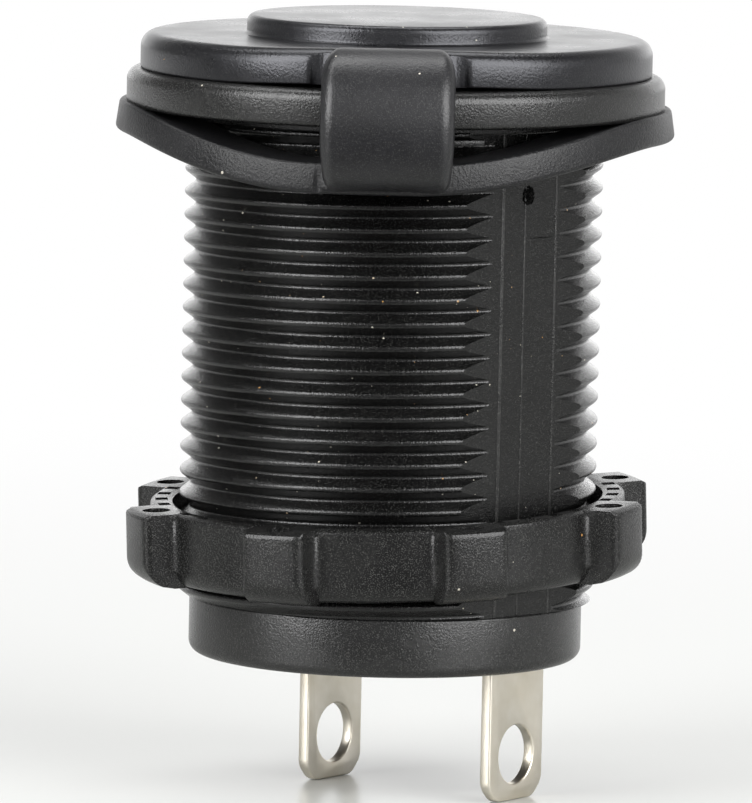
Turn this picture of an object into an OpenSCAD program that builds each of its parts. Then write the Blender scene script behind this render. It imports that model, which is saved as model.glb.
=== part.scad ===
// Panel mounted power socket: threaded body, clamping nut, rubber cap on a strap, contact cup and two tabs.
// Origin on the barrel axis at the underside of the flange, Z up out of the panel, strap towards -Y.

/* [Flange] */
// diameter of the flange
flange_diameter = 36.6; // [34:0.1:40]
// thickness of the flange
flange_thickness = 2.5; // [2:0.1:3.5]
// radius of the upper outer edge of the flange
flange_top_edge = 0.8; // [0.3:0.05:1]
// radius of the lower outer edge of the flange
flange_under_edge = 0.4; // [0.2:0.05:0.6]

/* [Threaded barrel] */
// diameter over the thread crests
thread_diameter = 28.5; // [28:0.1:29]
// distance from crest to crest
thread_pitch = 1.5875; // [1.5:0.0125:1.7]
// depth of the thread from crest to root
thread_depth = 0.78; // [0.5:0.02:0.85]
// distance from the flange to the first crest
first_crest_drop = 0.85; // [0.8:0.05:1.2]
// distance from the axis to the two flats
flat_distance = 13.11; // [12.8:0.01:13.4]
// direction of the first flat, counted from the strap
flat_direction = 44.5; // [30:0.5:60]
// length of the whole barrel under the flange
barrel_length = 37.4; // [37:0.1:42]
// diameter of the smooth collar at the barrel end
collar_diameter = 26.8; // [26:0.1:27.2]
// height of the smooth collar
collar_height = 4; // [3:0.1:4.4]
// radius of the lower edge of the collar
collar_edge = 0.8; // [0.3:0.05:1]

/* [Plug bore] */
// radius of the bore in the moulded body
body_bore_radius = 11; // [10.9:0.05:11.3]
// radius of the mouth ring above the cup
mouth_radius = 10.7; // [10.6:0.05:10.8]
// height of the mouth ring
mouth_height = 5.2; // [4.9:0.1:6]
// width of the sloped edge at the mouth
mouth_chamfer = 0.35; // [0.1:0.05:0.5]
// radius of the room for the terminals under the cup
chamber_radius = 11.75; // [11.7:0.05:11.9]
// height of the room for the terminals, from base plate to cup
terminal_room = 3; // [2.8:0.1:3.4]
// how much narrower the drawn bottom of the cup is
cup_step = 0.4; // [0.3:0.05:0.4]
// height of the drawn bottom of the cup
cup_step_height = 3.2; // [3.1:0.1:3.6]
// radial room between cup and body
cup_clearance = 0.05; // [0.02:0.01:0.1]
// wall of the contact cup
cup_wall = 0.45; // [0.3:0.05:0.5]
// radius of the hole in the cup floor
cup_hole_radius = 2.7; // [2.5:0.1:3]

/* [Spring tongues] */
// number of spring tongues in the cup wall
tongue_count = 2; // [2:1:4]
// half angle of one tongue
tongue_half_angle = 14; // [8:1:18]
// gap round a tongue in degrees
tongue_gap_angle = 3; // [2:0.5:5]
// distance from the cup underside to the root of a tongue
tongue_rise = 4.1; // [3.8:0.1:6]
// length of a tongue
tongue_length = 10.5; // [8:0.5:11]
// how far the free end leans inwards
tongue_lean = 0.2; // [0.1:0.05:0.25]

/* [Base plate] */
// radius of the base plate
base_radius = 12.2; // [12:0.05:12.4]
// thickness of the base plate
base_thickness = 1.8; // [1.4:0.1:2]
// inner radius of its support ring
support_inner_radius = 10.1; // [9.8:0.1:10.4]
// outer radius of its support ring
support_outer_radius = 11.6; // [11.4:0.05:11.65]
// room round a tab in its slot
slot_clearance = 0.2; // [0.1:0.05:0.4]

/* [Terminals] */
// width of a tab
tab_width = 6.35; // [6.3:0.01:6.4]
// thickness of a tab
tab_thickness = 0.8; // [0.8:0.01:0.81]
// how far the tab tips stand below the barrel
tab_reach = 9; // [8:0.1:11]
// diameter of the tab hole
tab_hole_diameter = 4.05; // [1.6:0.05:4.2]
// distance from tip to hole centre
tab_hole_height = 3.1; // [2.9:0.1:3.6]
// size of the corner chamfers at the tip
tab_chamfer = 1.1; // [0.5:0.05:1.3]
// direction of the tab face, counted from the strap
tab_direction = 56.5; // [40:0.5:60]
// distance from the axis to the negative tab
negative_offset = 10.7; // [10.4:0.05:10.75]
// distance from the axis to the positive tab on the other side
positive_offset = 4.4; // [4:0.05:5]
// distance from the axis to the rivet of the negative tab
negative_rivet_offset = 6.9; // [6.8:0.05:7.2]

/* [Contact stack] */
// thickness of the fibre washers
washer_thickness = 0.8; // [0.5:0.1:1]
// radius of the upper washer
upper_washer_radius = 6; // [5.5:0.1:6.5]
// radius of the lower washer
lower_washer_radius = 4.6; // [4.2:0.1:4.9]
// radius of the dished spring plate
contact_radius = 4.8; // [4:0.1:5]
// thickness of the dished spring plate
contact_thickness = 0.4; // [0.3:0.05:0.5]
// height of the dished spring plate
contact_height = 1.8; // [1.2:0.1:2.2]
// shank radius of the centre rivet
centre_rivet_radius = 1.5; // [1.2:0.05:1.6]
// shank radius of the rivet of the negative tab
side_rivet_radius = 1; // [0.8:0.05:1.1]

/* [Nut] */
// diameter over the lobes
nut_diameter = 36.6; // [34.5:0.1:37.6]
// diameter of the ring between the lobes
nut_ring_diameter = 32.4; // [32:0.1:33]
// height of the nut
nut_height = 5.1; // [4:0.1:6]
// distance from the barrel end to the nut underside
nut_rise = 5.85; // [4.8:0.05:8]
// radial room between nut and thread crests
nut_clearance = 0.45; // [0.4:0.05:0.6]
// number of lobes
nut_lobes = 8; // [6:1:8]
// width of one lobe
lobe_width = 4.5; // [3.5:0.1:5]
// radius of the upright outer edges of a lobe
lobe_corner = 0.6; // [0.2:0.1:1]
// direction of one lobe, counted from the strap
lobe_direction = 21; // [0:1:44]
// radius of the lower outer edge of the lobes
lobe_edge = 2; // [1:0.1:2.2]
// radius of the hole in the top of a lobe
lobe_hole_radius = 0.95; // [0.5:0.05:1.1]
// depth of the hole in the top of a lobe
lobe_hole_depth = 3; // [1:0.5:4]
// distance from the axis to the lobe holes
lobe_hole_distance = 16.6; // [16.2:0.05:16.8]
// how far the loose nut leans to the left
nut_lean_left = 2.2; // [0:0.1:2.3]
// how far the loose nut leans to the front
nut_lean_front = 2; // [0:0.1:2.3]

/* [Mounting ring] */
// width of the ring from its hole to its top edge
ring_width = 4; // [3.8:0.1:4.2]
// how much the ring's radius grows towards its underside
ring_flare = 0.3; // [0:0.05:0.35]
// thickness of the ring
ring_thickness = 2.05; // [1.6:0.05:2.2]
// radial room between ring and thread crests
ring_clearance = 0.5; // [0.4:0.05:0.9]
// where the ring starts to bend down, from the axis
ring_bend_start = 4.5; // [4:0.5:5]
// where the ring bends down further, from the axis
ring_bend_middle = 9.6; // [9:0.1:10.5]
// slope of the first bend
ring_slope_one = 5.1; // [4:0.1:6]
// slope of the second bend
ring_slope_two = 12.9; // [11:0.1:13.5]

/* [Cap] */
// how far the cap rim stays inside the flange edge
cap_margin = 0.9; // [0.6:0.1:1.3]
// height of the cap rim
cap_height = 2.45; // [2.2:0.05:3]
// radius of the upper edge of the cap rim
cap_edge = 1; // [0.5:0.05:1.1]
// diameter of the raised boss
boss_diameter = 20.4; // [18:0.1:22]
// height of the raised boss
boss_height = 1.3; // [0.6:0.05:1.8]
// radius of the edge of the raised boss
boss_edge = 0.5; // [0.2:0.05:0.55]
// radius of the plug part under the cap
plug_radius = 10; // [9.5:0.05:10.1]
// wall of the plug part
plug_wall = 1.6; // [1.2:0.1:2]
// length of the plug part
plug_length = 4.6; // [3:0.1:6]
// how far the sealing bead stands out
bead_height = 0.25; // [0.1:0.05:0.3]
// where the rim starts to lift at the front, from the axis
cap_bend_start = 11.5; // [11.3:0.1:13]
// slope of the lifted front
cap_slope = 6; // [3:0.1:6.5]

/* [Strap] */
// width of the strap
strap_width = 8.9; // [7:0.1:10]
// thickness of the strap
strap_thickness = 1.6; // [1.4:0.05:1.8]
// outer radius of the bow
strap_bow = 4.65; // [4.5:0.05:4.75]
// radius of the long edges of the strap
strap_edge = 0.6; // [0.2:0.05:0.7]
// gap between the flange edge and the inside of the bow
strap_gap = 1.2; // [1:0.05:1.4]
// height of the centre of the bow
bow_height = 0.25; // [0.2:0.05:0.35]

/* [Hidden] */
flange_radius = flange_diameter / 2;
crest_radius = thread_diameter / 2;
thread_crests = 1 + floor((barrel_length - collar_height - first_crest_drop - thread_pitch / 2) / thread_pitch);
root_radius = crest_radius - thread_depth;
collar_radius = collar_diameter / 2;
collar_top = -barrel_length + collar_height;
mouth_bottom = flange_thickness - mouth_height;
cup_radius = body_bore_radius - cup_clearance;
cup_inner = cup_radius - cup_wall;
base_top = -barrel_length + base_thickness;
cup_bottom = base_top + terminal_room;
cup_floor_top = cup_bottom + cup_wall;
shoulder_low = cup_bottom + cup_step_height;
shoulder_top = shoulder_low + cup_step;
tongue_root = cup_bottom + tongue_rise;
tab_tip = -barrel_length - tab_reach;
upper_washer_top = cup_floor_top + washer_thickness;
contact_top = upper_washer_top + contact_thickness;
lower_washer_bottom = cup_bottom - washer_thickness;
positive_leg_bottom = lower_washer_bottom - tab_thickness;
negative_leg_bottom = cup_bottom - tab_thickness;
washer_hole = centre_rivet_radius;
nut_radius = nut_diameter / 2;
nut_ring_radius = nut_ring_diameter / 2;
nut_bore = crest_radius + nut_clearance;
nut_top = -barrel_length + nut_rise + nut_height;
nut_ring_edge = 1.2;
cap_radius = flange_radius - cap_margin;
cap_bottom = flange_thickness;
cap_top = cap_bottom + cap_height;
boss_top = cap_top + boss_height;
plug_bottom = cap_bottom - plug_length;
ring_inner = crest_radius + ring_clearance;
ring_top_radius = ring_inner + ring_width;
strap_inner = strap_bow - strap_thickness;
bow_centre = flange_radius + strap_gap - strap_inner;
strap_grip = 0.25;
big = 60;
$fn = 64;

// a ring section with rounded outer corners, radius along x and height along y
module rim_section(inner, outer, low, high, low_edge, high_edge) {
  polygon([[inner, low], [outer - low_edge, low], [outer, low + low_edge], [outer, high - high_edge],
    [outer - high_edge, high], [inner, high]]);
  translate([outer - low_edge, low + low_edge])
    circle(r = low_edge);
  translate([outer - high_edge, high - high_edge])
    circle(r = high_edge);
}

// turns a shape made facing the strap round to a direction counted from the strap
module facing(direction) {
  rotate([0, 0, direction])
    children();
}

function crest_z(k) = -first_crest_drop - k * thread_pitch;

module barrel_section() {
  polygon(concat(
    [[0, 0.5], [root_radius, 0.5]],
    [for (k = [0:thread_crests - 1]) each [[root_radius, crest_z(k) + thread_pitch / 2], [crest_radius, crest_z(k)]]],
    [[root_radius, crest_z(thread_crests - 1) - thread_pitch / 2], [root_radius, collar_top - 0.5], [0, collar_top - 0.5]]));
}

module thread_flats() {
  for (side = [0, 180])
    facing(flat_direction + side)
      translate([-big / 2, -flat_distance - big, collar_top])
        cube([big, big, barrel_length - collar_height]);
}

module housing() {
  color([0.09, 0.09, 0.09]) difference() {
    union() {
      difference() {
        rotate_extrude() barrel_section();
        thread_flats();
      }
      rotate_extrude() rim_section(0, flange_radius, 0, flange_thickness, flange_under_edge, flange_top_edge);
      rotate_extrude() rim_section(0, collar_radius, -barrel_length, collar_top, collar_edge, 0.15);
    }
    translate([0, 0, cup_bottom])
      cylinder(h = mouth_bottom - cup_bottom, r = body_bore_radius);
    translate([0, 0, mouth_bottom - 1])
      cylinder(h = mouth_height + 2, r = mouth_radius);
    translate([0, 0, flange_thickness - mouth_chamfer])
      cylinder(h = mouth_chamfer + 0.01, r1 = mouth_radius, r2 = mouth_radius + mouth_chamfer + 0.01);
    translate([0, 0, base_top])
      cylinder(h = cup_bottom - base_top + 0.01, r = chamber_radius);
    translate([0, 0, -barrel_length - 1])
      cylinder(h = base_thickness + 1, r = base_radius);
  }
}

// slot for one tab through the base plate
module tab_slot(offset) {
  translate([-tab_width / 2 - slot_clearance, -offset - tab_thickness / 2 - slot_clearance, -barrel_length - 1])
    cube([tab_width + 2 * slot_clearance, tab_thickness + 2 * slot_clearance, 8]);
}

module base_plate() {
  color([0.08, 0.08, 0.08]) difference() {
    union() {
      translate([0, 0, -barrel_length])
        cylinder(h = base_thickness, r = base_radius - 0.03);
      translate([0, 0, base_top - 0.2])
        difference() {
          cylinder(h = cup_bottom - base_top + 0.2, r = support_outer_radius);
          translate([0, 0, 0.1])
            cylinder(h = 10, r = support_inner_radius);
        }
    }
    facing(tab_direction) {
      tab_slot(negative_offset);
      tab_slot(-positive_offset);
      translate([-tab_width / 2 - slot_clearance, -15, base_top])
        cube([tab_width + 2 * slot_clearance, 15, 5]);
    }
  }
}

// flat blade of a tab hanging from a height, its middle plane at the origin
module tab_blade(high) {
  difference() {
    rotate([90, 0, 0])
      translate([0, 0, -tab_thickness / 2])
        linear_extrude(height = tab_thickness)
          polygon([[-tab_width / 2, high], [-tab_width / 2, tab_tip + tab_chamfer],
            [-tab_width / 2 + tab_chamfer, tab_tip], [tab_width / 2 - tab_chamfer, tab_tip],
            [tab_width / 2, tab_tip + tab_chamfer], [tab_width / 2, high]]);
    translate([0, 0, tab_tip + tab_hole_height])
      rotate([90, 0, 0])
        cylinder(h = big, r = tab_hole_diameter / 2, center = true);
  }
}

module positive_tab() {
  color([0.72, 0.69, 0.62]) facing(tab_direction) {
    translate([0, positive_offset, 0])
      tab_blade(positive_leg_bottom + tab_thickness);
    translate([0, 0, positive_leg_bottom])
      difference() {
        union() {
          translate([-tab_width / 2, 0, 0])
            cube([tab_width, positive_offset, tab_thickness]);
          cylinder(h = tab_thickness, r = tab_width / 2);
        }
        cylinder(h = big, r = centre_rivet_radius, center = true);
      }
  }
}

module negative_tab() {
  color([0.72, 0.69, 0.62]) facing(tab_direction) {
    translate([0, -negative_offset, 0])
      tab_blade(negative_leg_bottom + tab_thickness);
    translate([0, 0, negative_leg_bottom])
      difference() {
        translate([-tab_width / 2, -negative_offset, 0])
          cube([tab_width, negative_offset - negative_rivet_offset + 1.7, tab_thickness]);
        translate([0, -negative_rivet_offset, 0])
          cylinder(h = big, r = side_rivet_radius, center = true);
      }
  }
}

module negative_rivet() {
  color([0.7, 0.68, 0.62]) facing(tab_direction)
    translate([0, -negative_rivet_offset, 0]) {
      translate([0, 0, negative_leg_bottom])
        cylinder(h = tab_thickness + cup_wall, r = side_rivet_radius);
      translate([0, 0, negative_leg_bottom - 0.5])
        cylinder(h = 0.5, r1 = 1.3, r2 = 1.65);
      translate([0, 0, cup_floor_top])
        cylinder(h = 0.4, r1 = 0.86, r2 = 0.7);
    }
}

module tongue_wedge(half_angle) {
  linear_extrude(height = big, center = true)
    polygon([[0, 0], [big, big * tan(half_angle)], [big, -big * tan(half_angle)]]);
}

module contact_cup() {
  color([0.75, 0.74, 0.7]) {
    difference() {
      rotate_extrude()
        polygon([[0, cup_bottom], [cup_radius - cup_step, cup_bottom], [cup_radius - cup_step, shoulder_low],
          [cup_radius, shoulder_top], [cup_radius, mouth_bottom], [cup_inner, mouth_bottom], [cup_inner, shoulder_top],
          [cup_inner - cup_step, shoulder_low], [cup_inner - cup_step, cup_floor_top], [0, cup_floor_top]]);
      cylinder(h = 2 * big, r = cup_hole_radius, center = true);
      facing(tab_direction)
        translate([0, -negative_rivet_offset, 0])
          cylinder(h = 2 * big, r = side_rivet_radius, center = true);
      for (k = [0:tongue_count - 1])
        rotate([0, 0, k * 360 / tongue_count])
          intersection() {
            tongue_wedge(tongue_half_angle + tongue_gap_angle);
            translate([0, 0, tongue_root])
              cylinder(h = tongue_length + 1, r = cup_radius + 1);
          }
    }
    for (k = [0:tongue_count - 1])
      rotate([0, 0, k * 360 / tongue_count])
        intersection() {
          tongue_wedge(tongue_half_angle);
          translate([0, 0, tongue_root])
            rotate_extrude()
              polygon([[cup_inner, 0], [cup_radius, 0], [cup_radius - tongue_lean, tongue_length],
                [cup_inner - tongue_lean, tongue_length]]);
        }
  }
}

module upper_insulator() {
  color([0.45, 0.3, 0.2]) difference() {
    translate([0, 0, cup_floor_top])
      cylinder(h = washer_thickness, r = upper_washer_radius - 0.3);
    cylinder(h = 2 * big, r = washer_hole, center = true);
  }
}

module lower_insulator() {
  color([0.45, 0.3, 0.2]) difference() {
    union() {
      translate([0, 0, lower_washer_bottom])
        cylinder(h = washer_thickness, r = lower_washer_radius);
      translate([0, 0, cup_bottom - 0.1])
        cylinder(h = cup_wall + 0.1, r = cup_hole_radius - 0.05);
    }
    cylinder(h = 2 * big, r = washer_hole, center = true);
  }
}

module centre_contact() {
  color([0.78, 0.75, 0.66]) difference() {
    translate([0, 0, upper_washer_top])
      cylinder(h = contact_height, r1 = contact_radius - 0.6, r2 = contact_radius);
    translate([0, 0, contact_top])
      cylinder(h = contact_height, r1 = contact_radius - 0.95, r2 = contact_radius - 0.35);
    cylinder(h = 2 * big, r = centre_rivet_radius, center = true);
    for (k = [0:3])
      rotate([0, 0, 45 + 90 * k])
        translate([2 * centre_rivet_radius, -0.4, -big])
          cube([big, 0.8, 2 * big]);
  }
}

module centre_rivet() {
  color([0.74, 0.72, 0.66]) {
    translate([0, 0, positive_leg_bottom - 0.1])
      cylinder(h = contact_top - positive_leg_bottom + 0.1, r = centre_rivet_radius);
    translate([0, 0, positive_leg_bottom - 0.6])
      cylinder(h = 0.6, r1 = 2, r2 = 2.5);
    translate([0, 0, contact_top])
      cylinder(h = 0.4, r = 2.5);
    translate([0, 0, contact_top + 0.4])
      cylinder(h = 0.4, r1 = 2.5, r2 = 1.6);
  }
}

module lobe() {
  translate([0, 0, -nut_height])
    linear_extrude(height = nut_height) {
      translate([-lobe_width / 2, -nut_radius + lobe_corner])
        square([lobe_width, nut_radius - lobe_corner - nut_bore]);
      translate([-lobe_width / 2 + lobe_corner, -nut_radius])
        square([lobe_width - 2 * lobe_corner, 2 * lobe_corner]);
      for (side = [-1, 1])
        translate([side * (lobe_width / 2 - lobe_corner), -nut_radius + lobe_corner])
          circle(r = lobe_corner);
    }
}

module straight_nut() {
  difference() {
    union() {
      rotate_extrude() rim_section(0, nut_ring_radius, -nut_height, 0, nut_ring_edge, 0.2);
      intersection() {
        rotate_extrude() rim_section(0, nut_radius, -nut_height, 0, lobe_edge, 0.3);
        for (k = [0:nut_lobes - 1])
          facing(lobe_direction + k * 360 / nut_lobes)
            lobe();
      }
    }
    translate([0, 0, -nut_height - 1])
      cylinder(h = nut_height + 2, r = nut_bore);
    translate([0, 0, -0.4])
      cylinder(h = 0.41, r1 = nut_bore, r2 = nut_bore + 0.4);
    for (k = [0:nut_lobes - 1])
      facing(lobe_direction + k * 360 / nut_lobes)
        translate([0, -lobe_hole_distance, -lobe_hole_depth])
          cylinder(h = lobe_hole_depth + 1, r = lobe_hole_radius, $fn = 24);
  }
}

module retaining_nut() {
  color([0.1, 0.1, 0.1])
    translate([0, 0, nut_top])
      rotate([nut_lean_front, -nut_lean_left, 0])
        straight_nut();
}

// height of the ring's upper face where it starts to slope down further
ring_middle_z = -(ring_bend_middle - ring_bend_start) * tan(ring_slope_one);

// the ring's upper and lower faces, seen from the side
module bent_slab() {
  front_z = ring_middle_z - (big / 2 - ring_bend_middle) * tan(ring_slope_two);
  rotate([90, 0, 90])
    linear_extrude(height = big, center = true)
      polygon([[big / 2, 0], [-ring_bend_start, 0], [-ring_bend_middle, ring_middle_z], [-big / 2, front_z],
        [-big / 2, front_z - ring_thickness], [-ring_bend_middle, ring_middle_z - ring_thickness],
        [-ring_bend_start, -ring_thickness], [big / 2, -ring_thickness]]);
}

module bent_ring() {
  difference() {
    intersection() {
      translate([0, 0, -3 * ring_thickness])
        cylinder(h = 3 * ring_thickness, r1 = ring_top_radius + 3 * ring_flare, r2 = ring_top_radius);
      bent_slab();
    }
    cylinder(h = big, r = ring_inner, center = true);
  }
}

module mounting_ring() {
  color([0.13, 0.13, 0.13]) bent_ring();
}

module cap_plate() {
  rotate_extrude() rim_section(0, cap_radius, cap_bottom, cap_top, 0.15, cap_edge);
}

// what is cut from the rim's underside at the front, where the strap holds it up
module front_relief() {
  translate([-big / 2, -cap_bend_start, cap_bottom])
    rotate([-cap_slope, 0, 0])
      translate([0, -big, -big])
        cube([big, big, big]);
}

module cap() {
  color([0.15, 0.15, 0.15]) difference() {
    union() {
      difference() {
        cap_plate();
        front_relief();
      }
      rotate_extrude() rim_section(0, boss_diameter / 2, cap_top - 0.5, boss_top, 0.1, boss_edge);
      rotate_extrude() rim_section(0, plug_radius, plug_bottom, cap_bottom + 0.5, 0.5, 0.1);
      translate([0, 0, plug_bottom + 1.2])
        cylinder(h = 0.5, r1 = plug_radius, r2 = plug_radius + bead_height);
      translate([0, 0, plug_bottom + 1.7])
        cylinder(h = 0.5, r1 = plug_radius + bead_height, r2 = plug_radius);
    }
    translate([0, 0, plug_bottom - 1])
      cylinder(h = plug_length + 2, r = plug_radius - plug_wall);
  }
}

module cap_strap() {
  color([0.14, 0.14, 0.14]) difference() {
    translate([0, -bow_centre, bow_height])
      rotate([0, 90, 0])
        rotate_extrude()
          difference() {
            union() {
              polygon([[strap_inner, -strap_width / 2], [strap_bow - strap_edge, -strap_width / 2],
                [strap_bow, -strap_width / 2 + strap_edge], [strap_bow, strap_width / 2 - strap_edge],
                [strap_bow - strap_edge, strap_width / 2], [strap_inner, strap_width / 2]]);
              for (side = [-1, 1])
                translate([strap_bow - strap_edge, side * (strap_width / 2 - strap_edge)])
                  circle(r = strap_edge);
            }
          }
    translate([-big / 2, -bow_centre, -big / 2])
      cube([big, big, big]);
    cap_plate();
    bent_ring();
    translate([0, 0, -big])
      cylinder(h = big, r = ring_top_radius - strap_grip);
  }
}

housing();
base_plate();
retaining_nut();
mounting_ring();
cap_strap();
cap();
contact_cup();
upper_insulator();
centre_contact();
lower_insulator();
centre_rivet();
positive_tab();
negative_tab();
negative_rivet();
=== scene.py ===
"""Looks of a power socket: moulded threaded body, lobed nut, rubber cap on its strap, nickel tabs."""
import math

import bmesh
import bpy
from mathutils import Matrix, Vector


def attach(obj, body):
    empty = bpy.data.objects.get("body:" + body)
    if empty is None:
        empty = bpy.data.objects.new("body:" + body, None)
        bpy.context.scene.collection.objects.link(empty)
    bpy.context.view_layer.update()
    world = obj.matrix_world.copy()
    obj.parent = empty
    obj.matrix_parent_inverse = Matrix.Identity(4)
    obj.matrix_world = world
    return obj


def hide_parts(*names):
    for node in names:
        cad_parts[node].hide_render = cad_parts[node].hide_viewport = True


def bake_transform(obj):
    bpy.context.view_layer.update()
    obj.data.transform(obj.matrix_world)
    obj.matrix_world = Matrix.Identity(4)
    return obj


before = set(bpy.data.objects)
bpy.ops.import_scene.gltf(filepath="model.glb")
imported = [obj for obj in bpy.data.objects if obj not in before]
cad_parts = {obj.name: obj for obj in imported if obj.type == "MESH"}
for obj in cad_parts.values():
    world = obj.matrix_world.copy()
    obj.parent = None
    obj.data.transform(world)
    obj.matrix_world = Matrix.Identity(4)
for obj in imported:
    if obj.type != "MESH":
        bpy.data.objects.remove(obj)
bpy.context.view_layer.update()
MM = 0.001

# sizes in millimetres, as in the part's source: flange and barrel
FLANGE_R = 18.3
FLANGE_T = 2.5
FLANGE_EDGE = 0.8
FLANGE_UNDER = 0.4
CREST_R = 14.25
ROOT_R = 13.47
PITCH = 1.5875
THREAD_END = -33.4
FLAT_AT = 13.11
FLAT_TURN = 44.5
NECK_R = 14.15
NECK_LOW = -0.7
COLLAR_R = 13.4
BARREL_END = -37.4

# inside the barrel
BORE_R = 11.0
MOUTH_R = 10.7
MOUTH_LOW = -2.7
MOUTH_CHAMFER = 0.35
CHAMBER_R = 11.75
CUP_LOW = -32.6
BASE_TOP = -35.6
BASE_R = 12.2

# rubber ring, cap and strap
RING_IN = 14.75
RING_TOP_R = 18.75
RING_FLARE = 0.3
RING_T = 2.05
CAP_R = 17.4
CAP_LOW = 2.5
CAP_TOP = 4.95
BOSS_R = 10.2
BOSS_TOP = 6.25
PLUG_R = 10.0
PLUG_WALL = 1.6
PLUG_LOW = -2.1
PLUG_CEILING = 3.5
BOW_Y = -16.45
BOW_Z = 0.25
BOW_R = 4.65
STRAP_T = 1.6
STRAP_W = 8.9

# nut
NUT_R = 18.3
NUT_RING_R = 16.2
NUT_BORE = 14.7
NUT_H = 5.1
NUT_TOP = -26.45
LOBES = 8
LOBE_W = 4.5
LOBE_TURN = 21.0
HOLE_AT = 16.6

# tabs
TAB_W = 6.35
TAB_T = 0.8
TAB_TIP = -46.4
TAB_HOLE_R = 2.025
TAB_HOLE_UP = 3.1
TAB_TURN = 56.5

# what only the looks have, in millimetres and degrees: the thread's rounding and where its first turn starts,
# so that crests and roots lie at the heights seen in the photo
CREST_ROUND = 0.27
CREST_PEAK = 0.145
ROOT_ROUND = 0.18
ROOT_FLAT = 0.09
THREAD_LOW = -37.68
# the strap pulls the ring's front down and its rim curls up beside the flange; each side lies flat beyond its
# first angle and is down in full within its second one
RING_DROOP = 2.3
RING_CURL = 0.3
RING_LEFT = (76, 16)
RING_RIGHT = (70, 6)

# the studio: how bright the surroundings are in front, beside, behind and overhead, and the three soft boxes
WORLD_FRONT = 0.62
WORLD_LEFT = 0.25
WORLD_RIGHT = 0.66
WORLD_BACK = 1.6
WORLD_TOP = 0.1
LEFT_WATTS = 3.1
RIGHT_WATTS = 3.5
TOP_WATTS = 5.0


# modelling helpers
def nothing_selected():
    """Back to object mode, with nothing selected."""
    if bpy.context.mode != "OBJECT":
        bpy.ops.object.mode_set(mode="OBJECT")
    bpy.ops.object.select_all(action="DESELECT")


def only(obj):
    """Selects one object and makes it the active one."""
    nothing_selected()
    obj.select_set(True)
    bpy.context.view_layer.objects.active = obj


def named(name):
    """Names the object that was just added, and its mesh."""
    obj = bpy.context.active_object
    obj.name = name
    obj.data.name = name
    return obj


def place_in_mesh(obj):
    """Writes the object's place, turn and scale into its mesh."""
    only(obj)
    bpy.ops.object.transform_apply(location=True, rotation=True, scale=True)
    return obj


def use_modifiers(obj):
    """Applies every modifier, in order."""
    only(obj)
    for m in list(obj.modifiers):
        bpy.ops.object.modifier_apply(modifier=m.name)


def pick(obj, mode, test):
    """In edit mode: selects the vertices, edges or faces that pass a test, and gives their number.

    Vertices and faces are tested by middle and normal, and edges by the places of their two ends.
    """
    bpy.ops.mesh.select_mode(type=mode)
    bpy.ops.mesh.select_all(action="DESELECT")
    bm = bmesh.from_edit_mesh(obj.data)
    kinds = {"VERT": bm.verts, "EDGE": bm.edges, "FACE": bm.faces}
    found = 0
    for e in kinds[mode]:
        if mode == "VERT":
            hit = test(e.co, e.normal)
        elif mode == "EDGE":
            hit = test(e.verts[0].co, e.verts[1].co)
        else:
            hit = test(e.calc_center_median(), e.normal)
        if hit:
            e.select_set(True)
            found += 1
    bm.select_flush_mode()
    bmesh.update_edit_mesh(obj.data)
    return found


def edit_all(obj):
    """Edit mode with the whole mesh selected."""
    only(obj)
    bpy.ops.object.mode_set(mode="EDIT")
    bpy.ops.mesh.select_all(action="SELECT")


def merge_and_face_out(distance):
    """In edit mode: merges the points that meet, and turns all faces outwards."""
    bpy.ops.mesh.select_all(action="SELECT")
    bpy.ops.mesh.remove_doubles(threshold=distance)
    bpy.ops.mesh.normals_make_consistent(inside=False)


def chain(name, points, closed=False):
    """A chain of edges drawn by extruding one vertex from point to point, in millimetres."""
    nothing_selected()
    bpy.ops.mesh.primitive_plane_add(size=0.001, location=(0, 0, 0))
    obj = named(name)
    bpy.ops.object.mode_set(mode="EDIT")
    bpy.ops.mesh.select_mode(type="VERT")
    bpy.ops.mesh.select_all(action="SELECT")
    bpy.ops.mesh.merge(type="CENTER")
    here = Vector(points[0])
    bpy.ops.transform.translate(value=here * MM)
    for p in points[1:]:
        bpy.ops.mesh.extrude_region_move(TRANSFORM_OT_translate={"value": (Vector(p) - here) * MM})
        here = Vector(p)
    if closed:
        bpy.ops.mesh.select_all(action="SELECT")
        bpy.ops.mesh.remove_doubles(threshold=1e-6)
    return obj


def profile(name, points, closed=False):
    """A chain in the XZ plane, given as (radius, height) in millimetres."""
    return chain(name, [(x, 0, z) for x, z in points], closed)


def rounded(corners):
    """An outline whose corners (x, y, radius, steps) become arcs of that many edges."""
    out = []
    for i, corner in enumerate(corners):
        if len(corner) == 2:
            out.append(tuple(corner))
            continue
        x, y, radius, steps = corner
        middle = Vector((x, y))
        back = (Vector(corners[i - 1][:2]) - middle).normalized()
        onward = (Vector(corners[i + 1][:2]) - middle).normalized()
        half = back.angle(onward) / 2
        reach = radius / math.tan(half)
        start = middle + back * reach
        end = middle + onward * reach
        centre = (back + onward).normalized() * (radius / math.sin(half)) + middle
        first = math.atan2(start.y - centre.y, start.x - centre.x)
        last = math.atan2(end.y - centre.y, end.x - centre.x)
        turn = (last - first + math.pi) % (2 * math.pi) - math.pi
        for k in range(steps + 1):
            angle = first + turn * k / steps
            out.append((centre.x + radius * math.cos(angle), centre.y + radius * math.sin(angle)))
    return out


def turned(name, points, steps, closed=False):
    """A piece turned round the barrel axis from a profile of (radius, height), some corners rounded."""
    outline = rounded(points)
    if closed:
        outline.append(outline[0])
    obj = profile(name, outline, closed)
    bpy.ops.mesh.select_all(action="SELECT")
    bpy.ops.mesh.spin(steps=steps, angle=2 * math.pi, center=(0, 0, 0), axis=(0, 0, 1))
    merge_and_face_out(2e-6)
    bpy.ops.object.mode_set(mode="OBJECT")
    return obj


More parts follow.
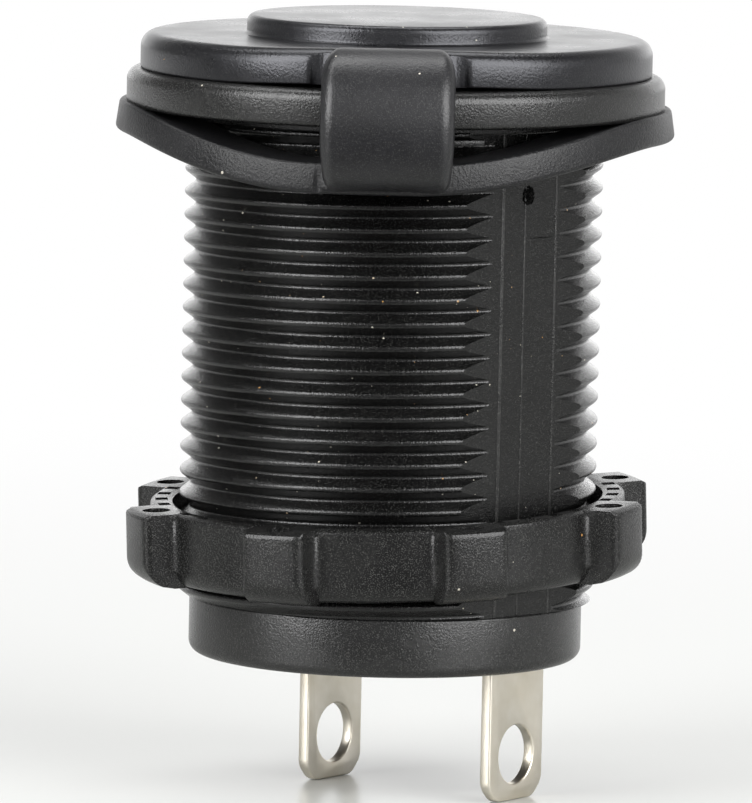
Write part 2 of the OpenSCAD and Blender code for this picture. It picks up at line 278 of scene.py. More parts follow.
def smooth(obj, angle):
    """Smooth shading, with edges sharper than the angle kept sharp."""
    only(obj)
    bpy.ops.object.shade_smooth_by_angle(angle=math.radians(angle))


def facing(turn):
    """Unit vector in the panel plane, counted from the strap (-Y) towards +X."""
    a = math.radians(turn)
    return Vector((math.sin(a), -math.cos(a), 0))


def cut(at, normal):
    """In edit mode: cuts away what lies beyond a plane through a point in millimetres, and closes the cut."""
    bpy.ops.mesh.select_mode(type="VERT")
    bpy.ops.mesh.select_all(action="SELECT")
    bpy.ops.mesh.bisect(plane_co=[v * MM for v in at], plane_no=normal, use_fill=True, clear_outer=True,
                        threshold=1e-7)


def cut_out(obj, cutter):
    """Takes the cutter's shape out of an object and deletes the cutter."""
    taken = obj.modifiers.new("cut_out", "BOOLEAN")
    taken.operation = "DIFFERENCE"
    taken.solver = "EXACT"
    taken.object = cutter
    use_modifiers(obj)
    bpy.data.objects.remove(cutter)


def join(objects):
    """Joins objects into the first of them, and gives it."""
    nothing_selected()
    for obj in objects:
        obj.select_set(True)
    bpy.context.view_layer.objects.active = objects[0]
    bpy.ops.object.join()
    return objects[0]


def turn_beyond(obj, edge_y, edge_z, degrees):
    """Bends the front of a piece: all beyond a line across it is turned up or down about that line."""
    only(obj)
    bpy.ops.object.mode_set(mode="EDIT")
    if pick(obj, "VERT", lambda co, n: co.y < edge_y * MM - 1e-6):
        bm = bmesh.from_edit_mesh(obj.data)
        chosen = [v for v in bm.verts if v.select]
        line = (0, edge_y * MM, edge_z * MM)
        bmesh.ops.rotate(bm, verts=chosen, cent=line, matrix=Matrix.Rotation(math.radians(degrees), 3, "X"))
        bmesh.update_edit_mesh(obj.data)
    bpy.ops.object.mode_set(mode="OBJECT")


# materials
# slow patches of slightly different colour and gloss: their size, and the noise values between which they change
PATCH_MM = 5.5
PATCH_COLOUR_SPAN = (0.75, 1.0)
PATCH_GLOSS_SPAN = (0.3, 0.7)
# painted glints: single grains painted pale into the colour as painted highlight, at the peaks of a fine noise
GLINT_MM = 0.075
GLINT_PEAKS = (0.58, 0.74)
GLINT_COLOUR = "8a8a86"
# specks of dust: their reach as a share of a cell, and their colours by the cells' own random value
SPECK_REACH = (0.035, 0.105)
SPECK_OCHRE = (0.1, "a97f48")
SPECK_PALE = (0.45, "bdb8ab")


def linear(hexa):
    """Linear colour of an sRGB hex value."""
    out = []
    for i in (0, 2, 4):
        c = int(hexa[i:i + 2], 16) / 255
        out.append(c / 12.92 if c <= 0.04045 else ((c + 0.055) / 1.055) ** 2.4)
    return (*out, 1)


def add(tree, kind, links=(), **settings):
    """Adds a node, sets its sockets and properties, and links (output, input name) pairs into it."""
    node = tree.nodes.new(kind)
    for key, value in settings.items():
        if hasattr(node, key):
            setattr(node, key, value)
        else:
            node.inputs[key.replace("_", " ")].default_value = value
    for source, target in links:
        tree.links.new(source, node.inputs[target])
    return node


def calculated(tree, operation, first, second):
    """The result of a math node on two outputs."""
    return add(tree, "ShaderNodeMath", [(first, 0), (second, 1)], operation=operation).outputs[0]


def strength_between(tree, value, low, high, at_low, at_high):
    """A smooth change from one value to another while the input runs from low to high."""
    node = add(tree, "ShaderNodeMapRange", [(value, "Value")], interpolation_type="SMOOTHSTEP")
    node.inputs["From Min"].default_value = low
    node.inputs["From Max"].default_value = high
    node.inputs["To Min"].default_value = at_low
    node.inputs["To Max"].default_value = at_high
    return node.outputs["Result"]


def two_colours(tree, value, first, second):
    """A colour that changes between two (position, hex colour) pairs."""
    ramp = add(tree, "ShaderNodeValToRGB", [(value, "Fac")])
    for element, (position, colour) in zip(ramp.color_ramp.elements, (first, second)):
        element.position = position
        element.color = linear(colour)
    return ramp.outputs["Color"]


def noise(tree, place, size_mm, detail, **settings):
    """A noise pattern of a given size in millimetres."""
    settings["Scale"] = 1 / (size_mm * MM)
    settings["Detail"] = detail
    return add(tree, "ShaderNodeTexNoise", [(place, "Vector")], **settings).outputs["Fac"]


def new_material(name, base, roughness, metallic=0.0, ior=1.5):
    """A material with plain colour and roughness, and with it its tree, shader and object coordinates."""
    material = bpy.data.materials.new(name)
    material.use_nodes = True
    tree = material.node_tree
    shader = tree.nodes["Principled BSDF"]
    shader.inputs["Base Color"].default_value = linear(base)
    shader.inputs["Roughness"].default_value = roughness
    shader.inputs["Metallic"].default_value = metallic
    if not metallic:
        shader.inputs["IOR"].default_value = ior
    place = add(tree, "ShaderNodeTexCoord").outputs["Object"]
    return material, tree, shader, place


def bumped(tree, shader, height, strength, depth_mm):
    """Turns a pattern into relief of a given depth in millimetres."""
    bump = add(tree, "ShaderNodeBump", [(height, "Height")], Strength=strength, Distance=depth_mm * MM)
    tree.links.new(bump.outputs["Normal"], shader.inputs["Normal"])


def grain(tree, shader, place, size_mm, height_mm, colours, rough, painted_glint):
    """Moulded or blasted grain: noise at the real grain width drives bump, a little colour and roughness, and
    pale grains at the peaks of a finer noise are painted in as painted glints.
    """
    fine = noise(tree, place, size_mm, 1.0, Roughness=0.6)
    broad = noise(tree, place, PATCH_MM, 4.0, Roughness=0.6)
    ground = two_colours(tree, calculated(tree, "ADD", fine, broad), *zip(PATCH_COLOUR_SPAN, colours))
    # painted glint: pale grains mixed into the base colour, as painted highlight
    lit = strength_between(tree, noise(tree, place, GLINT_MM, 0.0), *GLINT_PEAKS, 0.0, painted_glint)
    mix = add(tree, "ShaderNodeMix", [(lit, "Factor"), (ground, 6)], data_type="RGBA")
    mix.inputs[7].default_value = linear(GLINT_COLOUR)
    tree.links.new(mix.outputs[2], shader.inputs["Base Color"])
    tree.links.new(strength_between(tree, broad, *PATCH_GLOSS_SPAN, *rough), shader.inputs["Roughness"])
    bumped(tree, shader, fine, 1.0, height_mm)
    return mix.outputs[2]


def dust(tree, shader, place, under, cell_mm, share):
    """Pale and ochre specks of dust: the middles of a few cells of a Voronoi pattern."""
    cells = add(tree, "ShaderNodeTexVoronoi", [(place, "Vector")], Scale=1 / (cell_mm * MM), Randomness=1.0)
    apart = add(tree, "ShaderNodeSeparateColor", [(cells.outputs["Color"], "Color")])
    reach = strength_between(tree, apart.outputs["Green"], 0.0, 1.0, *SPECK_REACH)
    near = calculated(tree, "LESS_THAN", cells.outputs["Distance"], reach)
    few = add(tree, "ShaderNodeMath", [(apart.outputs["Red"], 0)], operation="GREATER_THAN")
    few.inputs[1].default_value = 1 - share
    speck = calculated(tree, "MULTIPLY", near, few.outputs[0])
    colour = two_colours(tree, apart.outputs["Blue"], SPECK_OCHRE, SPECK_PALE)
    mix = add(tree, "ShaderNodeMix", [(speck, "Factor"), (under, 6), (colour, 7)], data_type="RGBA")
    tree.links.new(mix.outputs[2], shader.inputs["Base Color"])


def grained(name, base, roughness, ior, size_mm, height_mm, colours, rough, painted_glint=0.0, specks=None):
    """A material with grain and, where specks gives their cells' size in mm and their share, with dust."""
    material, tree, shader, place = new_material(name, base, roughness, ior=ior)
    under = grain(tree, shader, place, size_mm, height_mm, colours, rough, painted_glint)
    if specks:
        dust(tree, shader, place, under, *specks)
    return material


# each nylon and rubber below has pale painted glints mixed into its colour
# glass filled nylon, injection moulded in a polished tool: black with a soft gloss, so that crests and roots
# draw fine lines
body_nylon = grained(
    "moulded_nylon_body", "0c0c0c", 0.28, ior=1.48, size_mm=0.11, height_mm=0.03,
    colours=("040404", "0a0a0a"), rough=(0.13, 0.2), painted_glint=0.09, specks=(0.7, 0.32))

# the same nylon painted paler along the witness lines of the mould, as painted highlight on those real raised
# lines
witness_highlight_nylon = grained(
    "witness_highlight_nylon", "181818", 0.4, ior=1.53, size_mm=0.1, height_mm=0.03,
    colours=("0a0a0a", "161616"), rough=(0.2, 0.35), painted_glint=0.3)

# the same nylon, rough and painted dark at the gate and along the crack: painted shade
mark_shade_nylon = grained(
    "flat_mark_painted_shade", "030303", 0.7, ior=1.15, size_mm=0.1, height_mm=0.03,
    colours=("020202", "080808"), rough=(0.6, 0.8), painted_glint=0.15)

# the same nylon where the tool is spark eroded: flange, collar and base have an even fine grain
eroded_nylon = grained(
    "spark_eroded_nylon", "1d1d1d", 0.5, ior=1.53, size_mm=0.13, height_mm=0.03,
    colours=("0b0b0b", "181818"), rough=(0.23, 0.31), painted_glint=0.16, specks=(0.9, 0.05))

# nut nylon: a little coarser grain
nut_nylon = grained(
    "moulded_nylon_nut", "1e1e1e", 0.55, ior=1.43, size_mm=0.15, height_mm=0.03,
    colours=("0a0a0a", "161616"), rough=(0.21, 0.29), painted_glint=0.17, specks=(0.9, 0.08))

# neoprene rubber of the cap: matt, slightly blue-black, with dust
neoprene = grained(
    "moulded_neoprene", "202020", 0.62, ior=1.52, size_mm=0.17, height_mm=0.019,
    colours=("0d0d0f", "161618"), rough=(0.26, 0.32), painted_glint=0.08, specks=(0.7, 0.1))
neoprene.node_tree.nodes["Principled BSDF"].inputs["Specular Tint"].default_value = linear("f7f8ff")

# the same rubber on the strap, stretched and let go many times: more matt
strap_neoprene = grained(
    "flexed_neoprene", "202020", 0.45, ior=1.56, size_mm=0.17, height_mm=0.026,
    colours=("0d0d0f", "161619"), rough=(0.33, 0.41), painted_glint=0.1, specks=(0.7, 0.1))

# the same rubber on the ring: drier and more worn
ring_neoprene = grained(
    "worn_neoprene", "202020", 0.62, ior=1.4, size_mm=0.17, height_mm=0.035,
    colours=("0e0e10", "18181a"), rough=(0.36, 0.46), painted_glint=0.12, specks=(1.1, 0.1))


def rolled_nickel():
    """Nickel plate over rolled brass strip: warm silver with fine rolling lines along the blade."""
    material, tree, shader, place = new_material("nickel_plated_brass", "d3cab8", 0.3, metallic=1.0)
    line_mm = 0.12
    cloud_mm = 3.0
    # the lines are drawn out along the blade
    lines = add(tree, "ShaderNodeMapping", [(place, "Vector")])
    lines.inputs["Scale"].default_value = (1.0, 1.0, 0.06)
    streak = noise(tree, lines.outputs["Vector"], line_mm, 2.0, Roughness=0.5)
    cloud = noise(tree, place, cloud_mm, 3.0, Roughness=0.55)
    tint = two_colours(tree, cloud, (0.3, "dfd7c6"), (0.7, "f1ebdf"))
    tree.links.new(tint, shader.inputs["Base Color"])
    gloss = add(tree, "ShaderNodeMapRange", [(streak, "Value")])
    gloss.inputs["To Min"].default_value = 0.24
    gloss.inputs["To Max"].default_value = 0.42
    tree.links.new(gloss.outputs["Result"], shader.inputs["Roughness"])
    bumped(tree, shader, streak, 0.35, 0.004)
    return material


nickel = rolled_nickel()

# vulcanised fibre: red-brown pressed paper board with faint mottling
fibre = grained(
    "vulcanised_fibre", "6b3a22", 0.7, ior=1.5, size_mm=0.3, height_mm=0.03,
    colours=("5c3220", "7a452b"), rough=(0.62, 0.78))


def dress(obj, material):
    """Gives an object its one material."""
    obj.data.materials.clear()
    obj.data.materials.append(material)


# moulded body
def threaded_barrel():
    """One turn of thread drawn as a profile, wound by a screw modifier, then cut to length and flats."""
    turns = 25
    steps = 120
    # the top ends a hair inside the flange
    top = 0.02
    outline = rounded([
        (ROOT_R, 0.0),
        (ROOT_R, ROOT_FLAT, ROOT_ROUND, 5),
        (CREST_R + CREST_PEAK, PITCH / 2, CREST_ROUND, 8),
        (ROOT_R, PITCH - ROOT_FLAT, ROOT_ROUND, 5),
        (ROOT_R, PITCH),
    ])
    obj = profile("thread", [(x, z + THREAD_LOW) for x, z in outline])
    bpy.ops.object.mode_set(mode="OBJECT")
    screw = obj.modifiers.new("wind", "SCREW")
    screw.axis = "Z"
    screw.angle = 2 * math.pi
    screw.screw_offset = PITCH * MM
    screw.iterations = turns
    screw.steps = steps
    screw.render_steps = steps
    screw.use_merge_vertices = False
    use_modifiers(obj)
    edit_all(obj)
    bpy.ops.mesh.remove_doubles(threshold=2e-6)
    cut((0, 0, top), (0, 0, 1))
    cut((0, 0, THREAD_END), (0, 0, -1))
    for side in (0, 180):
        out = facing(FLAT_TURN + side)
        cut([v * FLAT_AT for v in out], out)
    pick(obj, "FACE", lambda co, n: co.z > -1e-5 or co.z < THREAD_END * MM + 1e-5)
    bpy.ops.mesh.delete(type="FACE")
    bpy.ops.mesh.select_all(action="SELECT")
    bpy.ops.mesh.normals_make_consistent(inside=False)
    smooth(obj, 30)
    # the flats are cut clean across the thread, so every edge round them stays sharp
    bpy.ops.object.mode_set(mode="EDIT")
    for side in (0, 180):
        out = facing(FLAT_TURN + side)
        pick(obj, "FACE", lambda co, n: n.dot(out) > 0.9999 and abs(co.dot(out) - FLAT_AT * MM) < 1e-6)
        bpy.ops.mesh.region_to_loop()
        bpy.ops.mesh.mark_sharp()
    bpy.ops.object.mode_set(mode="OBJECT")
    dress(obj, body_nylon)
    return obj


def moulded_body():
    """The body but for the thread, turned in one go from the flange down and up again through the bore."""
    core = 13.0
    points = [
        (MOUTH_R + MOUTH_CHAMFER, FLANGE_T), (FLANGE_R, FLANGE_T, FLANGE_EDGE, 8),
        (FLANGE_R, 0, FLANGE_UNDER, 4), (NECK_R, 0), (NECK_R, NECK_LOW, 0.12, 3), (core, NECK_LOW),
        (core, THREAD_END), (COLLAR_R, THREAD_END, 0.15, 3), (COLLAR_R, BARREL_END, 0.8, 8),
        (BASE_R, BARREL_END), (BASE_R, BASE_TOP), (CHAMBER_R, BASE_TOP), (CHAMBER_R, CUP_LOW),
        (BORE_R, CUP_LOW), (BORE_R, MOUTH_LOW), (MOUTH_R, MOUTH_LOW),
        (MOUTH_R, FLANGE_T - MOUTH_CHAMFER), (MOUTH_R + MOUTH_CHAMFER, FLANGE_T),
    ]
    obj = turned("body", points, 180)
    smooth(obj, 40)
    dress(obj, eroded_nylon)
    return obj


def raised_pad(name, turn, distance, across, heights, proud, edge, skin):
    """A flat pad on the barrel: a block with rounded edges, turned to its place round the axis."""
    nothing_selected()
    low, high = heights
    depth = 0.4
    middle = facing(turn) * (distance + proud - depth / 2) + facing(turn + 90) * (across[0] + across[1]) / 2
    bpy.ops.mesh.primitive_cube_add(
        size=1, location=(middle.x * MM, middle.y * MM, (low + high) / 2 * MM),
        rotation=(0, 0, math.radians(turn)),
        scale=((across[1] - across[0]) * MM, depth * MM, (high - low) * MM))
    obj = place_in_mesh(named(name))
    edit_all(obj)
    bpy.ops.mesh.bevel(offset=edge * MM, segments=3, affect="EDGES")
    smooth(obj, 40)
    dress(obj, skin)
    return obj


def shaded_flat_mark(turn, across, height, size):
    """A mark on the flat, at the gate or a crack: a low ragged scab, painted darker than the skin round it as
    painted shade.
    """
    thick = 0.1
    ragged = 0.12
    nothing_selected()
    middle = facing(turn) * FLAT_AT + facing(turn + 90) * across
    bpy.ops.mesh.primitive_ico_sphere_add(
        subdivisions=4, radius=MM, location=middle * MM + Vector((0, 0, height * MM)),
        rotation=(0, 0, math.radians(turn)), scale=(size[0], thick, size[1]))
    obj = place_in_mesh(named("gate"))
    edit_all(obj)
    bpy.ops.transform.vertex_random(offset=ragged * MM * size[1], uniform=0.5, normal=0.6, seed=3)
    bpy.ops.object.mode_set(mode="OBJECT")
    dress(obj, mark_shade_nylon)
    return obj


# rubber
def groove_beside_strap(obj, distance, radius, low, high, sides):
    """Round grooves in the rim, where the strap runs into it: -1 for the left one, 1 for the right one."""
    aside = 4.7
    for side in sides:
        nothing_selected()
        bpy.ops.mesh.primitive_cylinder_add(
            vertices=32, radius=radius * MM, depth=(high - low) * MM,
            location=(side * aside * MM, -distance * MM, (low + high) / 2 * MM))
        cut_out(obj, place_in_mesh(bpy.context.active_object))


def rubber_ring():
    """The ring, turned flat; the strap pulls its front down, and its rim curls up beside the flange."""
    # rows of points between bore and rim, so that it bends evenly
    inner_row = 16.0
    outer_row = 17.4
    # only what stands out past the flange by this much curls up
    beside_flange = 0.05
    points = [
        (RING_IN, 0), (inner_row, 0), (outer_row, 0), (RING_TOP_R, 0, 0.25, 4),
        (RING_TOP_R + RING_FLARE, -RING_T, 0.35, 4), (outer_row, -RING_T), (inner_row, -RING_T),
        (RING_IN, -RING_T),
    ]
    obj = turned("ring", points, 192, closed=True)
    edit_all(obj)
    bm = bmesh.from_edit_mesh(obj.data)
    for v in bm.verts:
        turn = math.degrees(math.atan2(v.co.x, -v.co.y))
        none, most = RING_LEFT if turn < 0 else RING_RIGHT
        share = min(1, max(0, (none - abs(turn)) / (none - most)))
        share = share * share * (3 - 2 * share)
        v.co.z -= RING_DROOP * MM * share
        if math.hypot(v.co.x, v.co.y) > (FLANGE_R + beside_flange) * MM:
            v.co.z += RING_CURL * MM * (1 - share)
    bmesh.update_edit_mesh(obj.data)
    bpy.ops.object.mode_set(mode="OBJECT")
    groove_beside_strap(obj, distance=18.75, radius=0.5, low=-7, high=1, sides=(-1,))
    smooth(obj, 40)
    dress(obj, ring_neoprene)
    return obj


def rubber_cap():
    """Cap plate, boss and plug turned in one go, its front rim then lifted as the strap holds it."""
    # rows of points across the plate, so that the rim bends evenly
    inner_row = 12.5
    outer_row = 14.5
    # the plug's bead stands out by this much
    bead = 0.25
    hollow_r = PLUG_R - PLUG_WALL
    points = [
        (0, BOSS_TOP), (5, BOSS_TOP), (BOSS_R, BOSS_TOP, 0.5, 6), (BOSS_R, CAP_TOP, 0.25, 4),
        (inner_row, CAP_TOP), (outer_row, CAP_TOP), (CAP_R, CAP_TOP, 1.0, 8), (CAP_R, CAP_LOW, 0.15, 3),
        (outer_row, CAP_LOW), (inner_row, CAP_LOW), (PLUG_R, CAP_LOW, 0.2, 3),
        (PLUG_R, 0.15), (PLUG_R + bead, -0.4, 0.2, 3), (PLUG_R, -0.95),
        (PLUG_R, PLUG_LOW, 0.5, 5), (hollow_r, PLUG_LOW, 0.3, 4), (hollow_r, PLUG_CEILING, 0.5, 4),
        (4, PLUG_CEILING), (0, PLUG_CEILING),
    ]
    obj = turned("cap_moulding", points, 192)
    # small bends, half a millimetre apart, add up to one soft bend of five degrees
    bends = 6
    first_bend = -12.2
    bend_step = 0.5
    lift = -5.0
    for k in range(bends):
        turn_beyond(obj, first_bend - bend_step * k, CAP_LOW, lift / bends)
    groove_beside_strap(obj, distance=17.75, radius=1.4, low=1, high=8, sides=(-1, 1))
    smooth(obj, 80)
    dress(obj, neoprene)
    return obj


def rubber_strap():
    """The bowed strap: a rounded cross-section spun round the middle of its bow."""
    half = STRAP_W / 2
    inner = BOW_R - STRAP_T
    row = 1.5
    bow_steps = 48
    bow_turn = -172
    # how far it runs on over the cap's rim, and down towards it
    run_on = 0.9
    run_down = -0.04
    # how much narrower it is over the cap and at the ring, and over which degrees of the bow
    cap_narrow = 0.085
    cap_reach = 42
    cap_curve = 1.6
    ring_narrow = 0.07
    ring_from = 105
    ring_reach = 60
    # how far the bow swells upwards in its upper half, and downwards in its lower half
    swell_up = 0.36
    swell_down = 0.5
    down_reach = 78
    section = rounded([
        (inner, -half + row), (inner, -half, 0.35, 4), (BOW_R, -half, 0.95, 8), (BOW_R, -row), (BOW_R, row),
        (BOW_R, half, 0.95, 8), (inner, half, 0.35, 4), (inner, -half + row),
    ])
    obj = chain("strap", [(across, BOW_Y, BOW_Z + out) for out, across in section], closed=True)
    centre = (0, BOW_Y * MM, BOW_Z * MM)
    bpy.ops.mesh.spin(steps=bow_steps, angle=math.radians(bow_turn), center=centre, axis=(1, 0, 0))
    merge_and_face_out(1e-6)

    def on_cap_end(a, b):
        """Whether an edge belongs to the end over the cap."""
        level = abs(a.y - centre[1]) < 1e-6 and abs(b.y - centre[1]) < 1e-6
        return level and a.z > centre[2] and b.z > centre[2]

    pick(obj, "EDGE", on_cap_end)
    bpy.ops.mesh.extrude_region_move(TRANSFORM_OT_translate={"value": (0, run_on * MM, run_down * MM)})
    bm = bmesh.from_edit_mesh(obj.data)
    for v in bm.verts:
        turn = math.degrees(math.atan2(centre[1] - v.co.y, v.co.z - centre[2]))
        by_cap = max(0, 1 - max(turn, 0) / cap_reach)
        by_ring = min(1, max(0, (turn - ring_from) / ring_reach))
        v.co.x *= 1 - cap_narrow * by_cap ** cap_curve - ring_narrow * by_ring
        if v.co.z > centre[2]:
            v.co.z += swell_up * MM * max(0, math.cos(math.radians(turn)))
        else:
            v.co.z -= swell_down * MM * math.sin(math.pi * min(1, max(0, (turn - 90) / down_reach)))
    bmesh.update_edit_mesh(obj.data)
    smooth(obj, 50)
    dress(obj, strap_neoprene)
    return obj


# nut
def nut_outline():
    """Outline of the nut from above: arcs between the lobes, filleted recesses and rounded lobe corners."""
    # degrees from a lobe's middle: the arc that runs halfway to the next lobe, and the lobe's own arc
    gap_arc = (11.7, 13.7, 15.9, 18.1, 20.3, 22.5)
    lobe_arc = (-4.2, -1.4, 1.4, 4.2)
    fillet = (0.8, 5)
    corner = (0.6, 6)
    half = LOBE_W / 2
    root = math.sqrt(NUT_RING_R ** 2 - half ** 2)
    edge = math.sqrt(NUT_R ** 2 - half ** 2)
    points = []
    for k in range(LOBES):
        turn = LOBE_TURN + k * 360 / LOBES
        out = facing(turn)
        across = facing(turn + 90)
        points += [(facing(turn - a) * NUT_RING_R).xy for a in reversed(gap_arc)]
        points.append((*(out * root - across * half).xy, *fillet))
        points.append((*(out * edge - across * half).xy, *corner))
        points += [(facing(turn + a) * NUT_R).xy for a in lobe_arc]
        points.append((*(out * edge + across * half).xy, *corner))
        points.append((*(out * root + across * half).xy, *fillet))
        points += [(facing(turn + a) * NUT_RING_R).xy for a in gap_arc[:-1]]
    points.append(points[0])
    return rounded(points)


def arc_reach(radius, rounding, beyond):
    """How far out an edge of a given radius reaches, some way beyond the start of the arc that rounds it."""
    return radius - rounding + math.sqrt(max(0, rounding ** 2 - beyond ** 2))


def lobed_nut():
    """The nut's outline drawn from above, joined to its bore, pulled down and rounded along its edges."""
    # heights of the rows of cuts that the rounded edges need, close together where the rounding is
    top_rows = (-0.02, -0.08, -0.17, -0.3, -0.45, -2.6)
    low_rows = (-3.1, -3.35, -3.6, -3.85, -4.1, -4.35, -4.6, -4.8, -4.95, -5.04)
    lobe_top = 0.45
    lobe_low = 2.0
    ring_top = 0.3
    ring_low = 1.2
    # the ring's arcs round only what lies this near to its radius
    ring_margin = 0.3
    # the bore's top edge is a chamfer this wide and deep
    chamfer_wide = 0.4
    chamfer_deep = 0.1
    obj = chain("nut", [(x, y, 0) for x, y in nut_outline()], closed=True)
    bpy.ops.mesh.select_all(action="SELECT")
    bpy.ops.mesh.extrude_edges_move(TRANSFORM_OT_translate={"value": (0, 0, 0)})
    bm = bmesh.from_edit_mesh(obj.data)
    for v in bm.verts:
        if v.select:
            v.co = Vector((v.co.x, v.co.y, 0)).normalized() * (NUT_BORE + chamfer_wide) * MM
    bmesh.update_edit_mesh(obj.data)
    bpy.ops.mesh.select_all(action="SELECT")
    bpy.ops.mesh.extrude_region_move(TRANSFORM_OT_translate={"value": (0, 0, -NUT_H * MM)})
    bpy.ops.mesh.select_all(action="SELECT")
    bpy.ops.mesh.normals_make_consistent(inside=False)
    for z in top_rows + low_rows:
        bpy.ops.mesh.select_all(action="SELECT")
        bpy.ops.mesh.bisect(plane_co=(0, 0, z * MM), plane_no=(0, 0, 1))
    bm = bmesh.from_edit_mesh(obj.data)
    for v in bm.verts:
        reach = math.hypot(v.co.x, v.co.y) / MM
        z = v.co.z / MM
        above_low = z + NUT_H
        limit = 99.0
        if above_low < lobe_low:
            limit = arc_reach(NUT_R, lobe_low, above_low - lobe_low)
        if z > -lobe_top:
            limit = arc_reach(NUT_R, lobe_top, z + lobe_top)
        on_ring = reach <= NUT_RING_R + ring_margin
        if on_ring and z > -ring_top:
            limit = min(limit, arc_reach(NUT_RING_R, ring_top, z + ring_top))
        if on_ring and above_low < ring_low:
            limit = min(limit, arc_reach(NUT_RING_R, ring_low, above_low - ring_low))
        if reach < NUT_BORE + 2 * chamfer_wide:
            if z < -chamfer_deep:
                v.co.x *= NUT_BORE / reach
                v.co.y *= NUT_BORE / reach
        elif reach > limit:
            v.co.x *= limit / reach
            v.co.y *= limit / reach
    bmesh.update_edit_mesh(obj.data)
    bpy.ops.object.mode_set(mode="OBJECT")
    return obj


def finish_nut(obj):
    """Blind holes in the lobes and the ring's pockets are sunk, then the nut takes its lean."""
    apart = 360 / LOBES
    pocket_at = 15.42
    pocket_turns = (-13.5, -4.5, 4.5, 13.5)
    lean_aside = -2.2
    lean_forward = 2.0
    # holes and pockets are sunk by half of these depths
    hole_r = 0.95
    hole_depth = 6
    pocket_size = (1.05, 0.85, 2.4)
    nothing_selected()
    cutters = []
    for k in range(LOBES):
        turn = LOBE_TURN + k * apart
        hole = facing(turn) * HOLE_AT * MM
        bpy.ops.mesh.primitive_cylinder_add(
            vertices=32, radius=hole_r * MM, depth=hole_depth * MM, location=(hole.x, hole.y, 0))
        cutters.append(bpy.context.active_object)
        for beside in pocket_turns:
            pocket_turn = turn + apart / 2 + beside
            pocket = facing(pocket_turn) * pocket_at * MM
            bpy.ops.mesh.primitive_cube_add(
                size=1, location=(pocket.x, pocket.y, 0), rotation=(0, 0, math.radians(pocket_turn)),
                scale=[v * MM for v in pocket_size])
            cutters.append(bpy.context.active_object)
    cut_out(obj, place_in_mesh(join(cutters)))
    aside = Matrix.Rotation(math.radians(lean_aside), 4, "Y")
    forward = Matrix.Rotation(math.radians(lean_forward), 4, "X")
    obj.matrix_world = Matrix.Translation((0, 0, NUT_TOP * MM)) @ aside @ forward
    place_in_mesh(obj)
    smooth(obj, 35)
    dress(obj, nut_nylon)


# tabs
def flat_tab(name, offset, top, leg):
    """A blanked tab: blade with cut, rounded corners and a hole, and its leg along the cup floor."""
    corner = 1.05
    corner_round = 0.42
    edge_round = 0.13
    # how high above the tip the edges lie that are cut off, and those of the cut that are rounded
    tip_edges = 0.1
    cut_edges = 2
    nothing_selected()
    bpy.ops.mesh.primitive_cube_add(
        size=1, location=(0, 0, (top + TAB_TIP) / 2 * MM),
        scale=(TAB_W * MM, TAB_T * MM, (top - TAB_TIP) * MM))
    obj = place_in_mesh(named(name))

    def through_blade(a, b, below):
        """Whether an edge runs through the blade's thickness, less than a height above its tip."""
        return abs(a.y - b.y) > 0.5 * TAB_T * MM and a.z < (TAB_TIP + below) * MM

    bpy.ops.object.mode_set(mode="EDIT")
    pick(obj, "EDGE", lambda a, b: through_blade(a, b, tip_edges))
    bpy.ops.mesh.bevel(offset=corner * MM, segments=1, affect="EDGES")
    pick(obj, "EDGE", lambda a, b: through_blade(a, b, cut_edges))
    bpy.ops.mesh.bevel(offset=corner_round * MM, segments=4, affect="EDGES")
    nothing_selected()
    bpy.ops.mesh.primitive_cylinder_add(
        vertices=64, radius=TAB_HOLE_R * MM, depth=4 * MM, rotation=(math.pi / 2, 0, 0),
        location=(0, 0, (TAB_TIP + TAB_HOLE_UP) * MM))
    cut_out(obj, place_in_mesh(bpy.context.active_object))
    nothing_selected()
    way = 1 if offset > 0 else -1
    bpy.ops.mesh.primitive_cube_add(
        size=1, location=(0, -way * (leg / 2 - TAB_T / 4) * MM, (top - TAB_T / 2) * MM),
        scale=(TAB_W * MM, (leg - TAB_T / 2) * MM, TAB_T * MM))
    join([obj, place_in_mesh(bpy.context.active_object)])
    edges = obj.modifiers.new("edges", "BEVEL")
    edges.width = edge_round * MM
    edges.segments = 3
    edges.limit_method = "ANGLE"
    edges.angle_limit = math.radians(50)
    use_modifiers(obj)
    middle = -facing(TAB_TURN) * offset * MM
    obj.matrix_world = Matrix.Translation(middle) @ Matrix.Rotation(math.radians(TAB_TURN), 4, "Z")
    place_in_mesh(obj)
    smooth(obj, 40)
    dress(obj, nickel)
    return obj


# the pieces, each on its body of the frame but for the strap, which is attached to none
barrel = threaded_barrel()
body = moulded_body()
pads = [raised_pad(
    "neck_pad", 21.5, NECK_R, (-1.2, 1.2), (-1.4, -1.0), proud=0.1, edge=0.05, skin=eroded_nylon)]
# real raised witness lines on the flats, their paler colour a painted highlight
for side in (0, 180):
    for middle, width in ((-2.15, 0.28), (-0.12, 0.13), (2.75, 0.2)):
        span = (middle - width / 2, middle + width / 2)
        pads.append(raised_pad(
            "witness_line", FLAT_TURN + side, FLAT_AT, span, (THREAD_END, NECK_LOW),
            proud=0.03, edge=0.03, skin=witness_highlight_nylon))
# the scab of the gate, and a hairline crack below it, both painted dark as painted shade
pads.append(shaded_flat_mark(FLAT_TURN, 0.15, -4.97, (0.5, 0.62)))
pads.append(shaded_flat_mark(FLAT_TURN, 1.35, -7.85, (1.15, 0.035)))
for o in (barrel, body, *pads):
    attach(o, "socket")
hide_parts("housing")
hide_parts("housing")

ring = rubber_ring()
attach(ring, "socket")
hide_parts("mounting_ring")

cap = rubber_cap()
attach(cap, "cap")
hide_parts("cap")

strap = rubber_strap()
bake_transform(strap)
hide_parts("cap_strap")

nut = lobed_nut()
finish_nut(nut)
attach(nut, "nut")
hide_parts("retaining_nut")

